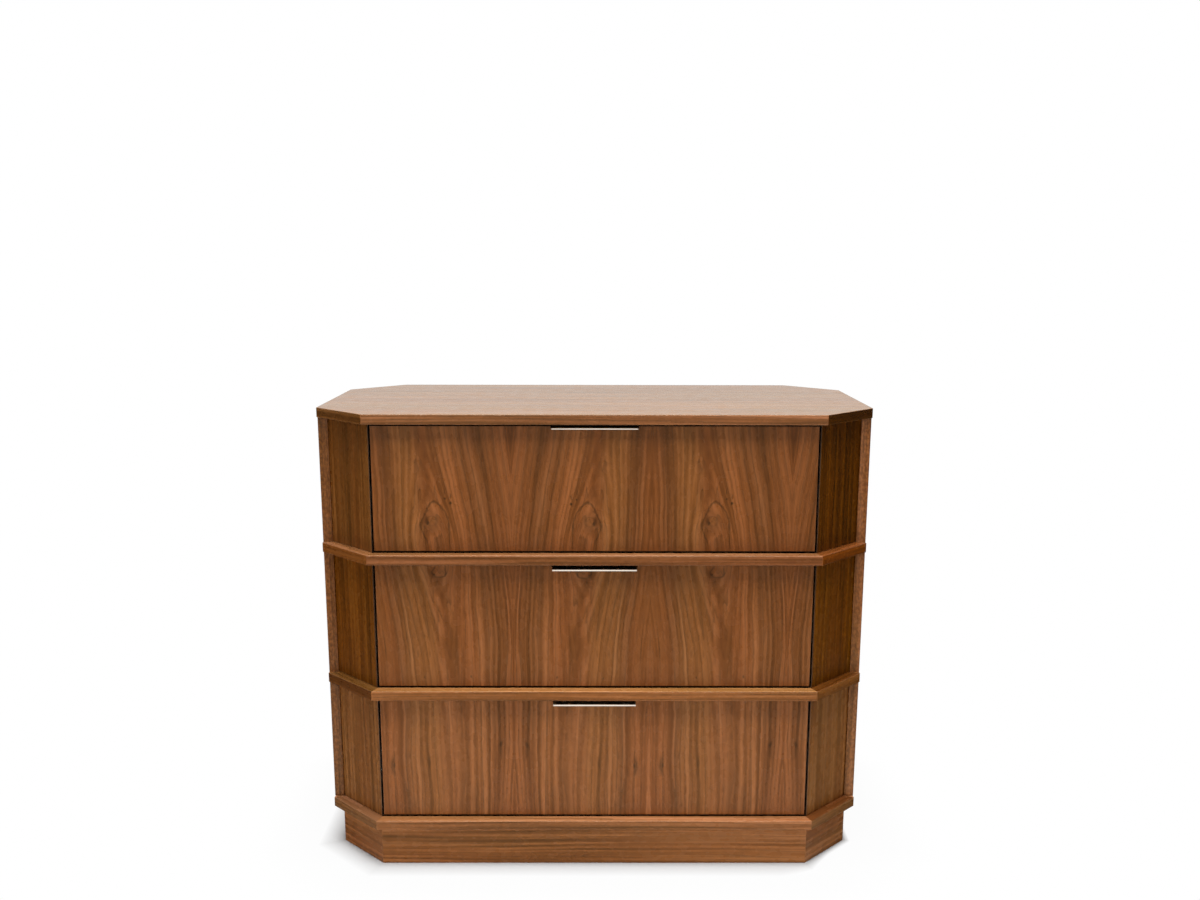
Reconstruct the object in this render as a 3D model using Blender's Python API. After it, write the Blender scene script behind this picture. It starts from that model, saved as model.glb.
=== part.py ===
"""Three-drawer dresser with canted corners, projecting ledges and slim metal edge pulls.

Metres, +Z up. The origin is on the floor at the middle of the footprint. The drawers open towards -Y.
Wooden boards that meet keep a thin seam between them, and sliding steel keeps its running gap.
"""

import math

import bpy
import bmesh
from mathutils import Vector

# Case
width = 1.016
depth = 0.508
corner_cut = 0.100  # leg of each 45 degree corner
deck_thickness = 0.018  # top, dividers and bottom board
wall_thickness = 0.018  # side, canted, back and partition panels
opening_heights = {"lower": 0.238, "middle": 0.238, "upper": 0.235}
ledge_overhang = 0.020  # how far the decks stand out past the drawer fronts and canted panels
side_setback = 0.007  # side panel edges behind the decks' corners
lap_y = 0.010  # the dividers and the partitions are halved together, up to this line
seam = 0.0003
arris = 0.0008  # rubbed-down edge of a board
arris_steps = 2
board_corner_angle = 30.0  # edges sharper than this many degrees are rubbed down

# Plinth
plinth_height = 0.076
plinth_setback = 0.0167
plinth_thickness = 0.018

# Drawer front
front_thickness = 0.018
front_side_gap = 0.0026
front_bottom_gap = 0.003
front_top_gap = 0.004

# Drawer box
box_wall = 0.012
box_lift = 0.014  # box above the floor of its opening
box_headroom = 0.052  # box below the top of its opening
box_rear_clearance = 0.0317  # between the box and the back panel
bottom_thickness = 0.006
bottom_rise = 0.010  # bottom panel above the lower edge of the box
groove_depth = 0.006
tail_count = 4
pin_root = 0.0070  # width of a pin on the inner side of the joint
pin_tip = 0.0036  # width of the same pin on the outer side

# Drawer slides
slide_width = 0.0127
slide_height = 0.045
slide_steel = 0.0012
slide_front_setback = 0.003
slide_rear_clearance = 0.029
slide_running_gap = 0.0004
slide_lap = 0.0022  # air between the web of one member and the flange ends of the next

# Edge pull
pull_length = 0.1524
pull_plate = 0.0015
pull_projection = 0.013
pull_lip = 0.004
pull_leg = 0.016
pull_drop = 0.0025  # top of the pull below the top edge of the drawer front
pull_inner_radius = 0.0005
pull_edge = 0.0003
pull_corner_angle = 60.0  # leaves the steps of the bends alone
notch_side_clearance = 0.0013
bend_steps = 4

# Places that follow from the sizes above
half_width = width / 2
half_depth = depth / 2
levels = list(opening_heights)
sides = {"left": -1, "right": 1}
bottom_deck_top = plinth_height + deck_thickness
side_inner = half_width - wall_thickness
side_half_length = half_depth - corner_cut - side_setback
face_y = -half_depth + ledge_overhang  # outer face of the drawer fronts
wall_inset = ledge_overhang + wall_thickness  # inner faces of the canted and back walls
opening_half = half_width - corner_cut - ledge_overhang * math.tan(math.pi / 8)
partition_outer = opening_half + wall_thickness
bay_length = half_depth - wall_inset - face_y - front_thickness
box_length = bay_length - seam - box_rear_clearance
slide_length = bay_length - slide_front_setback - slide_rear_clearance


def opening_floor(level):
    """Height of the deck under a drawer."""
    below = levels[:levels.index(level)]
    return bottom_deck_top + sum(opening_heights[other] + deck_thickness for other in below)


def opening_top(level):
    """Height of the underside of the deck over a drawer."""
    return opening_floor(level) + opening_heights[level]


def box_top(level):
    """Top edge of a drawer box above the floor of its opening."""
    return opening_heights[level] - box_headroom


def plan_corner(inset, index):
    """Corner of the eight-sided plan, moved inwards by inset. Corner 0 is front left, and 1 front right."""
    across = half_width - inset
    back = half_depth - inset
    leg = corner_cut - inset * (2 - math.sqrt(2))
    corners = [
        (-(across - leg), -back), (across - leg, -back), (across, -(back - leg)), (across, back - leg),
        (across - leg, back), (-(across - leg), back), (-across, back - leg), (-across, -(back - leg)),
    ]
    return Vector(corners[index % 8])


def octagon():
    """The whole plan, which the top and bottom boards have."""
    return [plan_corner(0.0, index) for index in range(8)]


def mirrored(outline):
    """The same outline on the other side of the middle plane."""
    return [Vector((-x, y)) for x, y in outline]


def mitre_shave():
    """Length taken off a board along its face so that a mitre between two boards keeps the seam."""
    return seam / 2 / math.cos(math.pi / 8)


# Materials

def finish(name, colour, roughness, metallic=0.0):
    material = bpy.data.materials.new(name)
    material.use_nodes = True
    shader = material.node_tree.nodes["Principled BSDF"]
    shader.inputs["Base Color"].default_value = (*colour, 1.0)
    shader.inputs["Roughness"].default_value = roughness
    shader.inputs["Metallic"].default_value = metallic
    material.diffuse_color = (*colour, 1.0)
    return material


def walnut():
    return finish("walnut_veneer", (0.19, 0.075, 0.027), 0.42)


def walnut_edge():
    return finish("walnut_edge_banding", (0.24, 0.098, 0.038), 0.40)


def drawer_maple():
    return finish("drawer_box_maple", (0.62, 0.45, 0.27), 0.50)


def bottom_plywood():
    return finish("drawer_bottom_plywood", (0.58, 0.43, 0.27), 0.55)


def slide_zinc():
    return finish("slide_zinc_steel", (0.56, 0.57, 0.58), 0.33, 1.0)


def pull_nickel():
    return finish("pull_satin_nickel", (0.72, 0.62, 0.52), 0.28, 1.0)


def cutter_material():
    """Plain material of the cutters, which don't show."""
    return bpy.data.materials.get("cutter") or finish("cutter", (0.8, 0.8, 0.8), 0.5)


# Mesh helpers

def extruded(name, outline, axis, start, end, material, parent=None):
    """Closed solid from a flat outline. Outlines are (x, y) along Z, (x, z) along Y and (y, z) along X."""
    to_space = {
        "X": lambda a, b, c: (c, a, b),
        "Y": lambda a, b, c: (a, c, b),
        "Z": lambda a, b, c: (a, b, c),
    }[axis]
    solid = bmesh.new()
    face = solid.faces.new([solid.verts.new(to_space(a, b, start)) for a, b in outline])
    grown = bmesh.ops.extrude_face_region(solid, geom=[face])
    raised = [item for item in grown["geom"] if isinstance(item, bmesh.types.BMVert)]
    shift = Vector(to_space(0.0, 0.0, end - start))
    bmesh.ops.translate(solid, verts=raised, vec=shift)
    bmesh.ops.recalc_face_normals(solid, faces=solid.faces)
    mesh = bpy.data.meshes.new(name)
    solid.to_mesh(mesh)
    solid.free()
    mesh.materials.append(material)
    part = bpy.data.objects.new(name, mesh)
    bpy.context.scene.collection.objects.link(part)
    part.parent = parent
    return part


def box(name, low, high, material, parent=None):
    outline = [(low[0], low[1]), (high[0], low[1]), (high[0], high[1]), (low[0], high[1])]
    return extruded(name, outline, "Z", low[2], high[2], material, parent)


def ease_edges(part, radius=arris, least_angle=board_corner_angle):
    """Rub down the sharp edges of a piece."""
    bevel = part.modifiers.new("eased_edges", "BEVEL")
    bevel.width = radius
    bevel.segments = arris_steps
    bevel.limit_method = "ANGLE"
    bevel.angle_limit = math.radians(least_angle)
    return part


def cut(part, cutter):
    boolean = part.modifiers.new(cutter.name, "BOOLEAN")
    boolean.operation = "DIFFERENCE"
    boolean.solver = "EXACT"
    boolean.object = cutter
    cutter.hide_render = True
    cutter.display_type = "WIRE"


# Case

def deck(name, floor, outline, material):
    return ease_edges(extruded(name, outline, "Z", floor, floor + deck_thickness, material))


def rear_line():
    """The x + y of the line that ends boards against the inner face of the right rear canted panel."""
    corner = plan_corner(wall_inset, 3)
    return corner.x + corner.y - seam * math.sqrt(2)


def divider_outline():
    """Full outline at the front, notched round the side panels and slotted at the back for the partitions."""
    rear_y = half_depth - wall_inset - seam
    notch_x = side_inner - seam
    notch_y = -side_half_length - seam
    slot_outer = partition_outer + seam
    slot_inner = opening_half - seam
    right = [
        plan_corner(0.0, 1), plan_corner(0.0, 2), Vector((half_width, notch_y)), Vector((notch_x, notch_y)),
        Vector((notch_x, rear_line() - notch_x)), Vector((slot_outer, rear_line() - slot_outer)),
        Vector((slot_outer, lap_y)), Vector((slot_inner, lap_y)),
        Vector((slot_inner, rear_line() - slot_inner)),
        Vector((rear_line() - rear_y, rear_y)),
    ]
    return right + mirrored(reversed(right))


def decks(material):
    deck("bottom_board", plinth_height, octagon(), material)
    deck("lower_divider", opening_top("lower"), divider_outline(), material)
    deck("upper_divider", opening_top("middle"), divider_outline(), material)
    deck("top_board", opening_top("upper"), octagon(), material)


def side_panels(material):
    for side, sign in sides.items():
        near, far = sorted((sign * side_inner, sign * half_width))
        low = (near, -side_half_length, bottom_deck_top + seam)
        high = (far, side_half_length, opening_top("upper") - seam)
        ease_edges(box(side + "_side_panel", low, high, material))


def canted_panel_outline():
    """Right front canted panel: mitred to the partition, its other end against the side panel."""
    near = Vector((opening_half, face_y))
    shave = Vector((1.0, 1.0)).normalized() * mitre_shave()
    end_x = side_inner - seam
    end_y = face_y + end_x - opening_half
    mitre_y = face_y + wall_thickness * (1 + math.sqrt(2))
    return [
        near + shave, Vector((end_x, end_y)), Vector((end_x, end_y + wall_thickness * math.sqrt(2))),
        Vector((partition_outer, mitre_y)) + shave,
    ]


def partition_outline():
    """Right partition: mitred to the front canted panel, its rear end along the rear canted panel."""
    shave = Vector((0.0, mitre_shave()))
    mitre_y = face_y + wall_thickness * (1 + math.sqrt(2))
    return [
        Vector((opening_half, face_y)) + shave, Vector((partition_outer, mitre_y)) + shave,
        Vector((partition_outer, rear_line() - partition_outer)),
        Vector((opening_half, rear_line() - opening_half)),
    ]


def canted_panels(material):
    """Front canted panels, which stand between the decks of each level."""
    for level in levels:
        low = opening_floor(level) + seam
        high = opening_top(level) - seam
        for side, sign in sides.items():
            outline = canted_panel_outline() if sign > 0 else mirrored(canted_panel_outline())
            extruded(side + "_canted_panel_" + level, outline, "Z", low, high, material)


def partitions(material):
    """Full-height panels beside the drawers, halved over the front half of each divider."""
    low = bottom_deck_top + seam
    high = opening_top("upper") - seam
    for side, sign in sides.items():
        outline = partition_outline() if sign > 0 else mirrored(partition_outline())
        board = extruded(side + "_partition", outline, "Z", low, high, material)
        for level in levels[:-1]:
            floor = opening_top(level)
            halving = box("_".join(("cut_halving", side, level)), (-half_width, -half_depth, floor - seam),
                          (half_width, lap_y + seam, floor + deck_thickness + seam), cutter_material())
            cut(board, halving)


def rear_canted_outline():
    """Right rear canted panel: against the side panel at one end, mitred to the back panel at the other."""
    end_x = side_inner - seam
    outer, inner = plan_corner(ledge_overhang, 4), plan_corner(wall_inset, 4)
    shave = Vector((1.0, -1.0)).normalized() * mitre_shave()
    return [
        Vector((end_x, outer.x + outer.y - end_x)), outer + shave, inner + shave,
        Vector((end_x, inner.x + inner.y - end_x)),
    ]


def back_outline():
    outer, inner = plan_corner(ledge_overhang, 4), plan_corner(wall_inset, 4)
    shave = Vector((-mitre_shave(), 0.0))
    right = [outer + shave, inner + shave]
    return right + mirrored(reversed(right))


def rear_walls(material):
    low = bottom_deck_top + seam
    high = opening_top("upper") - seam
    extruded("back_panel", back_outline(), "Z", low, high, material)
    for side, sign in sides.items():
        outline = rear_canted_outline() if sign > 0 else mirrored(rear_canted_outline())
        extruded(side + "_rear_canted_panel", outline, "Z", low, high, material)


def plinth_outline(first_edge, edge_count):
    """Plan of a plinth board that is folded at the corners between its edges and mitred at its two ends."""
    inner = plinth_setback + plinth_thickness
    outer_points = [plan_corner(plinth_setback, first_edge + step) for step in range(edge_count + 1)]
    inner_points = [plan_corner(inner, first_edge + step) for step in range(edge_count + 1)]
    start = (outer_points[1] - outer_points[0]).normalized() * mitre_shave()
    end = (outer_points[-1] - outer_points[-2]).normalized() * mitre_shave()
    for points in (outer_points, inner_points):
        points[0] = points[0] + start
        points[-1] = points[-1] - end
    return outer_points + list(reversed(inner_points))


def plinth(material):
    """Front and back boards folded round their canted corners, with a straight board on each side."""
    high = plinth_height - seam
    for name, first_edge, edge_count in (("front", 7, 3), ("right", 2, 1), ("back", 3, 3), ("left", 6, 1)):
        extruded("plinth_" + name, plinth_outline(first_edge, edge_count), "Z", 0.0, high, material)


# Drawers, each in the frame of its own empty: x across, y from the outer face of the drawer front and z
# from the floor of the opening

def tails(along, inwards, low, high, grow=0.0):
    """Tail shapes in (y, z) for one corner of the box, wide at the board's end and narrow at the root."""
    pitch = (high - low) / tail_count
    end, root = along - grow * inwards, along + (box_wall + seam) * inwards
    shapes = []
    for number in range(tail_count):
        middle = low + (number + 0.5) * pitch
        wide = (pitch - pin_tip) / 2 + grow
        narrow = (pitch - pin_root) / 2 + grow
        shapes.append([
            (root, middle - narrow), (end, middle - wide), (end, middle + wide), (root, middle + narrow),
        ])
    return shapes


def box_side_outline(front_y, back_y, low, high, back_low):
    """Side board seen from the side: tails at the front, and at the back above the bottom panel."""
    outline = []
    for shape in tails(front_y, 1, low, high):
        outline.extend(shape)
    outline = [(front_y + box_wall + seam, low)] + outline + [(front_y + box_wall + seam, high)]
    root = back_y - box_wall - seam
    outline.append((root, high))
    for shape in reversed(tails(back_y, -1, back_low, high)):
        outline.extend(reversed(shape))
    outline.extend([(root, back_low - seam), (back_y, back_low - seam), (back_y, low)])
    return outline


def cut_sockets(board, along, inwards, low, high, parent):
    """Cut the sockets for the tails in a cross board, at both of its ends."""
    inner = opening_half - slide_width - box_wall - seam
    for side, sign in sides.items():
        near, far = sorted((sign * inner, sign * opening_half))
        for number, shape in enumerate(tails(along, inwards, low, high, grow=seam)):
            name = "_".join(("cut_socket", board.name, side, str(number)))
            cut(board, extruded(name, shape, "X", near, far, cutter_material(), parent))


def drawer_box(level, parent, maple, plywood):
    outer = opening_half - slide_width
    inner = outer - box_wall
    front_y = front_thickness + seam
    back_y = front_y + box_length
    low = box_lift
    high = box_top(level)
    bottom_low = low + bottom_rise
    bottom_high = bottom_low + bottom_thickness
    back_low = bottom_high + seam
    reach = inner + groove_depth
    groove_y = front_y + box_wall - groove_depth
    box(level + "_drawer_bottom", (-reach + seam, groove_y + seam, bottom_low),
        (reach - seam, back_y, bottom_high), plywood, parent)
    groove = box("cut_groove_" + level, (-reach, groove_y, bottom_low - seam),
                 (reach, back_y + box_wall, bottom_high + seam), cutter_material(), parent)
    for side, sign in sides.items():
        near, far = sorted((sign * inner, sign * outer))
        outline = box_side_outline(front_y, back_y, low, high, back_low)
        board = extruded("_".join((level, "drawer", side, "side")), outline, "X", near, far, maple, parent)
        cut(board, groove)
    box_front = box(level + "_drawer_box_front", (-outer, front_y, low), (outer, front_y + box_wall, high),
                    maple, parent)
    cut_sockets(box_front, front_y, 1, low, high, parent)
    cut(box_front, groove)
    box_back = box(level + "_drawer_box_back", (-outer, back_y - box_wall, back_low), (outer, back_y, high),
                   maple, parent)
    cut_sockets(box_back, back_y, -1, back_low, high, parent)


def pull_top(level):
    """Height of the top of the pull above the opening's floor."""
    return opening_heights[level] - front_top_gap - pull_drop


def drawer_front(level, parent, material):
    half = opening_half - front_side_gap
    low = front_bottom_gap
    high = opening_heights[level] - front_top_gap
    notch_half = pull_length / 2 + notch_side_clearance
    notch_floor = pull_top(level) - pull_plate - seam
    outline = [
        (-half, low), (half, low), (half, high), (notch_half, high), (notch_half, notch_floor),
        (-notch_half, notch_floor), (-notch_half, high), (-half, high),
    ]
    ease_edges(extruded(level + "_drawer_front", outline, "Y", 0.0, front_thickness, material, parent))


def pull_profile():
    """Bent plate in (y, z): rear leg, flange over the drawer front and turned-down lip."""
    inner = pull_inner_radius
    outer = inner + pull_plate
    back = front_thickness + seam + pull_plate
    bends = [(back - outer, 0.0), (-pull_projection + outer, math.pi / 2)]

    def bend(radius, centre_y, start):
        points = []
        for step in range(bend_steps + 1):
            angle = start + math.pi / 2 * step / bend_steps
            points.append((centre_y + radius * math.cos(angle), -outer + radius * math.sin(angle)))
        return points

    outside = [(back, -pull_leg)]
    inside = [(back - pull_plate, -pull_leg)]
    for centre_y, start in bends:
        outside.extend(bend(outer, centre_y, start))
        inside.extend(bend(inner, centre_y, start))
    outside.append((-pull_projection, -pull_lip))
    inside.append((-pull_projection + pull_plate, -pull_lip))
    return outside + list(reversed(inside))


def pull(level, parent, material):
    profile = [(y, z + pull_top(level)) for y, z in pull_profile()]
    plate = extruded(level + "_pull", profile, "X", -pull_length / 2, pull_length / 2, material, parent)
    ease_edges(plate, pull_edge, pull_corner_angle)


# Slides: three nested channels on each side of a drawer, in the same frame as the drawer

def channel(web, flange_end, half_height):
    """Section of a steel channel in (distance from the partition, height), web first."""
    inward = slide_steel if flange_end > web else -slide_steel
    return [
        (web, -half_height), (flange_end, -half_height), (flange_end, -half_height + slide_steel),
        (web + inward, -half_height + slide_steel), (web + inward, half_height - slide_steel),
        (flange_end, half_height - slide_steel), (flange_end, half_height), (web, half_height),
    ]


def slide_sections():
    """Sections of the cabinet, intermediate and drawer members, each nested in the one before."""
    step = slide_steel + slide_running_gap
    full = slide_height / 2
    last_web = slide_width - seam
    cabinet = channel(seam, last_web - slide_lap, full)
    middle = channel(seam + step, last_web - slide_lap, full - step)
    drawer = channel(last_web, seam + step + slide_lap, full - 2 * step)
    return {"cabinet": cabinet, "intermediate": middle, "drawer": drawer}


def slide_pair(level, kind, parent, material):
    """Left and right member of one kind, level with the middle of the drawer box."""
    start = front_thickness + slide_front_setback
    height = (box_lift + box_top(level)) / 2
    for side, sign in sides.items():
        outline = [(sign * (opening_half - reach), height + rise) for reach, rise in slide_sections()[kind]]
        name = "_".join((level, kind, "slide", side))
        extruded(name, outline, "Y", start, start + slide_length, material, parent)


def empty(name, place):
    frame = bpy.data.objects.new(name, None)
    bpy.context.scene.collection.objects.link(frame)
    frame.location = place
    return frame


def drawers(wood, maple, plywood, steel, nickel):
    for level in levels:
        place = (0.0, face_y, opening_floor(level))
        drawer = empty(level + "_drawer", place)
        slide_pair(level, "cabinet", empty(level + "_slide_mounting", place), steel)
        slide_pair(level, "intermediate", empty(level + "_slide_carriage", place), steel)
        slide_pair(level, "drawer", drawer, steel)
        drawer_box(level, drawer, maple, plywood)
        drawer_front(level, drawer, wood)
        pull(level, drawer, nickel)


def build():
    for part in list(bpy.data.objects):
        bpy.data.objects.remove(part, do_unlink=True)
    wood = walnut()
    edge = walnut_edge()
    decks(edge)
    side_panels(wood)
    canted_panels(wood)
    partitions(wood)
    rear_walls(wood)
    plinth(edge)
    drawers(wood, drawer_maple(), bottom_plywood(), slide_zinc(), pull_nickel())


build()
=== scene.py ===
# %% [markdown]
# # A walnut dresser with canted corners
#
# The real piece is a case of veneered boards. Eight-sided boards divide it into three levels and stand out
# between the drawers as ledges, the corners are cut at 45 degrees, and each drawer has one slim metal pull
# folded over its top edge. The CAD model already holds the shapes and sizes, so this lesson loads it and
# spends its time on what makes walnut look like walnut: grain that runs the right way on every board,
# matched leaves of veneer, mitred edges, and the small metal fittings that show when a drawer is open.

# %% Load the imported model
import math

import bmesh
import bpy
from mathutils import Matrix, Vector


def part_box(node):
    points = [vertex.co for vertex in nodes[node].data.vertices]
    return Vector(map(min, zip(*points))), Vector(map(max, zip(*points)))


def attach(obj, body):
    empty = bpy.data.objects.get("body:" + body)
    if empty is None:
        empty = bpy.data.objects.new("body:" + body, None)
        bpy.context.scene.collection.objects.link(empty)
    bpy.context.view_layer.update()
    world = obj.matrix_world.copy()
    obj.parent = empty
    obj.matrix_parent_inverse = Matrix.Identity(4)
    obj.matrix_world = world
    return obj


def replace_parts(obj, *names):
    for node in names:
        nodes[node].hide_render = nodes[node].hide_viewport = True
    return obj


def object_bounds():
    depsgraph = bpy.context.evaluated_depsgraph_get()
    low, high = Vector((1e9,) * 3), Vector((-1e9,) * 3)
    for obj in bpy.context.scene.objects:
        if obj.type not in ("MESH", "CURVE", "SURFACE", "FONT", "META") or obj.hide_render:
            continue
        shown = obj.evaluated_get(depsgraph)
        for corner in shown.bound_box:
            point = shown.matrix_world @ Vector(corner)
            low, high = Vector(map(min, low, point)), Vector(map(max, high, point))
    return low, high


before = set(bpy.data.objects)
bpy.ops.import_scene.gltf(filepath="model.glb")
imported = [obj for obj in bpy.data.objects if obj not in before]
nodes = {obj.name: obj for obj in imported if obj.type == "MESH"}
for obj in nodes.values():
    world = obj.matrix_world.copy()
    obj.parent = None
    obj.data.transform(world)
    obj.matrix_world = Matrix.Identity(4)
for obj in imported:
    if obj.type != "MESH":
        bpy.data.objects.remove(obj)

cad_low, cad_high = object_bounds()
levels = ("lower", "middle", "upper")
sides = {"left": -1, "right": 1}
up, right, back = (0, 0, 1), (1, 0, 0), (0, 1, 0)
print(len(nodes), "boards and fittings in the model, box in mm:",
      [round(1000 * edge) for edge in cad_high - cad_low])

# %% [markdown]
# ## Camera
#
# The dresser is photographed from chest height, straight on. The place, tilt and lens below come from
# matching the corners of the ledges in the photograph, taken as 1200 pixels wide. Tilting the camera down
# makes upright edges lean together towards the floor. A small upward shift of the lens, as on a view camera,
# gives the rest of the framing without tilting further.

# %% Set up the camera
camera_place = (0.0016, -2.2779, 1.1182)
camera_pitch, camera_yaw, camera_roll = -0.20434, -0.00389, 0.00201


def place_object(name, data):
    """A new object in the scene."""
    made = bpy.data.objects.new(name, data)
    bpy.context.scene.collection.objects.link(made)
    return made


camera = place_object("camera", bpy.data.cameras.new("camera"))
camera.matrix_world = (
    Matrix.Translation(camera_place)
    @ Matrix.Rotation(camera_yaw, 4, "Z")
    @ Matrix.Rotation(math.pi / 2 + camera_pitch, 4, "X")
    @ Matrix.Rotation(camera_roll, 4, "Z")
)
camera.data.lens = 35.08
camera.data.sensor_width = 36.0
camera.data.shift_y = 0.0458
bpy.context.scene.camera = camera
print("camera stands", round(-camera_place[1], 2), "m in front of the middle, lens", camera.data.lens, "mm")

# %% [markdown]
# ## Numbers made by nodes
#
# Every finish here is worked out by shader nodes from where a point lies on its board. Wiring nodes by hand
# takes several lines each. So a small class stands for a node's output, and plus, minus, times and the like
# add a Math node to the same tree. A formula then reads as it would on paper.

# %% Let a formula add its nodes
class Wired:
    """The output of a node. Sums, products and comparisons with it add Math nodes to its tree."""

    def __init__(self, socket):
        self.socket = socket

    def __add__(self, other):
        return calc("ADD", self, other)

    def __sub__(self, other):
        return calc("SUBTRACT", self, other)

    def __rsub__(self, other):
        return calc("SUBTRACT", other, self)

    def __mul__(self, other):
        return calc("MULTIPLY", self, other)

    def __truediv__(self, other):
        return calc("DIVIDE", self, other)

    def __pow__(self, other):
        return calc("POWER", self, other)

    def __gt__(self, other):
        return calc("GREATER_THAN", self, other)

    def __lt__(self, other):
        return calc("LESS_THAN", self, other)

    def __abs__(self):
        return calc("ABSOLUTE", self)

    __radd__, __rmul__ = __add__, __mul__


print("signs that add a node: + - * / ** < > abs")

# %% [markdown]
# ## Adding and wiring nodes
#
# A node has to be made in a tree, and each finish has its own. A socket knows its tree, so the helpers ask
# the first wired value among their inputs for it, and no formula has to name one.

# %% Helpers that add and wire nodes
def tree_of(*values):
    """The tree of the first value that a node made."""
    return next(value.socket.id_data for value in values if isinstance(value, Wired))


def feed(socket, value):
    """Wire a node's output into a socket, or set the socket's own value. Colours are three numbers."""
    if isinstance(value, Wired):
        socket.id_data.links.new(value.socket, socket)
    else:
        socket.default_value = (*value, 1.0) if socket.type == "RGBA" else value


def add_node(tree, kind, inputs, **settings):
    """Add a node with its settings and inputs, which are {name or number: value}. Returns its outputs."""
    made = tree.nodes.new("ShaderNode" + kind)
    for setting, value in settings.items():
        setattr(made, setting, value)
    for place, value in inputs.items():
        feed(made.inputs[place], value)
    return made.outputs


def calc(operation, *values):
    """One Math node."""
    return Wired(add_node(tree_of(*values), "Math", dict(enumerate(values)), operation=operation)[0])


def vector_calc(operation, *values):
    """One Vector Math node. Dot products and lengths give a number, all others a vector."""
    made = add_node(tree_of(*values), "VectorMath", dict(enumerate(values)), operation=operation)
    return Wired(made["Value" if operation in ("DOT_PRODUCT", "LENGTH") else "Vector"])


def pack(x, y, z):
    """Three numbers as one vector."""
    return Wired(add_node(tree_of(x, y, z), "CombineXYZ", {0: x, 1: y, 2: z})[0])


def unpack(vector):
    """The three numbers of a vector."""
    return [Wired(part) for part in add_node(tree_of(vector), "SeparateXYZ", {0: vector})]


print("nodes are made by add_node, calc and vector_calc")

# %% [markdown]
# ## Chance and soft edges
#
# Two kinds of node come back in every finish. Noise gives chance: stretched one way it is grain, and dense
# it is pores. Map Range turns a distance into a soft edge, which looks less drawn than a hard one.

# %% Helpers for noise and fades
def noise(x, y, z, detail=2.0):
    """Smooth noise from 0 to 1 at the given place, where 1 is the size of a blotch."""
    inputs = {"Vector": pack(x, y, z), "Scale": 1.0, "Detail": detail}
    return Wired(add_node(tree_of(x, y, z), "TexNoise", inputs)[0])


def weighted(base, *terms):
    """Base plus each (amount, noise) term, with the noise centred on zero."""
    for amount, value in terms:
        base = base + (value - 0.5) * amount
    return base


def fade(value, start, end, low=0.0, high=1.0):
    """Smooth change from low to high as value goes from start to end."""
    inputs = {"Value": value, "From Min": start, "From Max": end, "To Min": low, "To Max": high}
    return Wired(add_node(tree_of(value), "MapRange", inputs, interpolation_type="SMOOTHSTEP")[0])


print("noise and fades ready")

# %% [markdown]
# ## Colours and places
#
# A Mix node lays one colour over another, or multiplies them, as a thin stain does. A Color Ramp gives a
# tone its colours. Object coordinates tell where a point lies at rest, so that the grain rides along when a
# drawer is pulled out.

# %% Helpers for colours and places
def choose(factor, first, second):
    """The first number where factor is 0, the second where it is 1."""
    return Wired(add_node(tree_of(factor, first, second), "Mix", {0: factor, 2: first, 3: second})[0])


def blend(factor, first, second, way="MIX"):
    """The first colour where factor is 0, the second where it is 1."""
    made = add_node(tree_of(factor, first, second), "Mix", {0: factor, 6: first, 7: second},
                    data_type="RGBA", blend_type=way)
    return Wired(made[2])


def tinted(factor, colour, tint):
    """Colour multiplied by a tint, as far as factor says."""
    return blend(factor, colour, tint, "MULTIPLY")


def ramp(value, *stops):
    """Colours along a line from 0 to 1, given as (place, colour)."""
    made = tree_of(value).nodes.new("ShaderNodeValToRGB")
    feed(made.inputs[0], value)
    band = made.color_ramp
    while len(band.elements) < len(stops):
        band.elements.new(0.5)
    for element, (place, colour) in zip(band.elements, stops):
        element.position = place
        element.color = (*colour, 1.0)
    return Wired(made.outputs[0])


def surface(tree):
    """(place of a point on its piece at rest, direction in which the piece's surface faces there)."""
    here = add_node(tree, "TexCoord", {})
    return Wired(here["Object"]), Wired(here["Normal"])


print("colours are made by choose, blend, tinted and ramp")

# %% [markdown]
# ## Walnut
#
# Walnut's pattern comes from growth rings. Where a knife slices a log, each ring leaves a line, so colour
# should follow a ring measure, in metres across the rings, rather than plain noise. A node group takes that
# measure, plus the place across and along the board for what doesn't follow rings: short dark pores, and
# the faint cross ripple that moves under lacquer. Stretched noise at four widths gives wide bands, stripes,
# fine lines and fibres. A wave would repeat too evenly, and a picture of wood would show its tiling.
# Because it is a group, walnut is made once, and each board only says where on it a point is.

# %% Make the walnut group
walnut_dark = (0.088, 0.0292, 0.0052)
walnut_brown = (0.145, 0.0460, 0.0094)
walnut_middle = (0.191, 0.0625, 0.0147)
walnut_tan = (0.266, 0.0945, 0.0280)


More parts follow.
